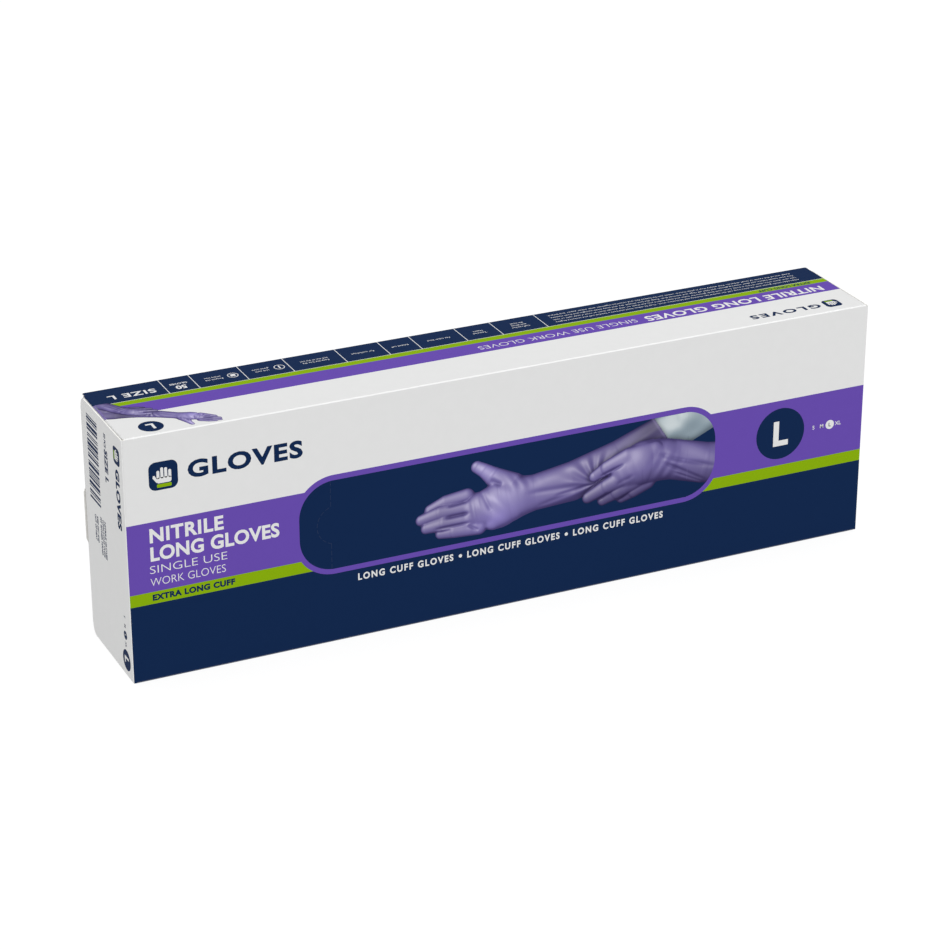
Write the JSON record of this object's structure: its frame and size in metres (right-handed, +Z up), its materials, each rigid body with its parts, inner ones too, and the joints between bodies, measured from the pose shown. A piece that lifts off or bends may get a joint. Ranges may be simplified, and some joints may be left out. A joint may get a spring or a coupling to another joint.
{
  "type": "glove dispenser box",
  "caption": "Long flat folding carton for long-cuff disposable gloves, with tuck-in end flaps, dust flaps and a tear-out dispensing window in the front.",
  "frame": {"origin": "middle of the base, on the surface the carton stands on", "axes": "+X along the carton's length, -Y out of the front panel with the dispensing window, +Z up"},
  "size_m": [0.4216, 0.064, 0.133],
  "materials": {
    "printed_board": "white-coated folding boxboard, printed in purple, navy and green under a satin varnish",
    "flap_board": "unprinted folding boxboard, matt, white outside and grey-beige inside",
    "raw_board": "uncoated grey-beige inside of the board, matt and fibrous",
    "tear_board": "the same board printed navy with a picture of gloved hands, satin varnish",
    "nitrile": "purple nitrile film, soft satin with fine texture"
  },
  "bodies": {
    "carton": {"front_panel": "printed_board", "top_panel": "printed_board", "back_panel": "printed_board", "bottom_panel": "printed_board", "glue_flap": "raw_board", "glove_pair_01": "nitrile", "glove_pair_02": "nitrile", "glove_pair_03": "nitrile", "glove_pair_04": "nitrile", "glove_pair_05": "nitrile", "glove_pair_06": "nitrile", "glove_pair_07": "nitrile", "glove_pair_08": "nitrile", "glove_pair_09": "nitrile", "glove_pair_10": "nitrile", "glove_pair_11": "nitrile", "glove_pair_12": "nitrile", "glove_pair_13": "nitrile", "glove_pair_14": "nitrile", "glove_pair_15": "nitrile", "glove_pair_16": "nitrile", "glove_pair_17": "nitrile", "glove_pair_18": "nitrile", "glove_pair_19": "nitrile", "glove_pair_20": "nitrile", "glove_pair_21": "nitrile", "glove_pair_22": "nitrile", "glove_pair_23": "nitrile", "glove_pair_24": "nitrile", "glove_pair_25": "nitrile"},
    "left_end_flap": {"left_end_flap": "printed_board"},
    "left_tuck_flap": {"left_tuck_flap": "flap_board"},
    "left_top_dust_flap": {"left_top_dust_flap": "flap_board"},
    "left_bottom_dust_flap": {"left_bottom_dust_flap": "flap_board"},
    "right_end_flap": {"right_end_flap": "printed_board"},
    "right_tuck_flap": {"right_tuck_flap": "flap_board"},
    "right_top_dust_flap": {"right_top_dust_flap": "flap_board"},
    "right_bottom_dust_flap": {"right_bottom_dust_flap": "flap_board"},
    "tear_panel": {"tear_panel": "tear_board"},
    "thumb_tab": {"thumb_tab": "tear_board"}
  },
  "joints": [
    {"name": "left_end_hinge", "type": "hinge", "parent": "carton", "child": "left_end_flap", "pos_m": [-0.2091, -0.0311, 0.0665], "axis": [0, 0, 1], "range_deg": [0, 150]},
    {"name": "left_tuck_fold", "type": "hinge", "parent": "left_end_flap", "child": "left_tuck_flap", "pos_m": [-0.2091, 0.0302, 0.0665], "axis": [0, 0, -1], "range_deg": [0, 30]},
    {"name": "left_top_dust_fold", "type": "hinge", "parent": "carton", "child": "left_top_dust_flap", "pos_m": [-0.2082, 0, 0.1321], "axis": [0, 1, 0], "range_deg": [0, 90]},
    {"name": "left_bottom_dust_fold", "type": "hinge", "parent": "carton", "child": "left_bottom_dust_flap", "pos_m": [-0.2082, 0, 0.0009], "axis": [0, -1, 0], "range_deg": [0, 90]},
    {"name": "right_end_hinge", "type": "hinge", "parent": "carton", "child": "right_end_flap", "pos_m": [0.2091, -0.0311, 0.0665], "axis": [0, 0, -1], "range_deg": [0, 150]},
    {"name": "right_tuck_fold", "type": "hinge", "parent": "right_end_flap", "child": "right_tuck_flap", "pos_m": [0.2091, 0.0302, 0.0665], "axis": [0, 0, 1], "range_deg": [0, 30]},
    {"name": "right_top_dust_fold", "type": "hinge", "parent": "carton", "child": "right_top_dust_flap", "pos_m": [0.2082, 0, 0.1321], "axis": [0, -1, 0], "range_deg": [0, 90]},
    {"name": "right_bottom_dust_fold", "type": "hinge", "parent": "carton", "child": "right_bottom_dust_flap", "pos_m": [0.2082, 0, 0.0009], "axis": [0, 1, 0], "range_deg": [0, 90]},
    {"name": "tear_panel_peel", "type": "hinge", "parent": "carton", "child": "tear_panel", "pos_m": [0.102, -0.032, 0.066], "axis": [0, 0, 1], "range_deg": [0, 150]},
    {"name": "thumb_tab_push", "type": "hinge", "parent": "tear_panel", "child": "thumb_tab", "pos_m": [-0.102, -0.0314, 0.066], "axis": [0, 0, -1], "range_deg": [0, 35]}
  ],
  "couplings": [
    {"joint": "left_tuck_fold", "follows": "left_end_hinge", "ratio": 0.2},
    {"joint": "left_top_dust_fold", "follows": "left_end_hinge", "ratio": 0.6},
    {"joint": "left_bottom_dust_fold", "follows": "left_end_hinge", "ratio": 0.6},
    {"joint": "right_tuck_fold", "follows": "right_end_hinge", "ratio": 0.2},
    {"joint": "right_top_dust_fold", "follows": "right_end_hinge", "ratio": 0.6},
    {"joint": "right_bottom_dust_fold", "follows": "right_end_hinge", "ratio": 0.6}
  ]
}
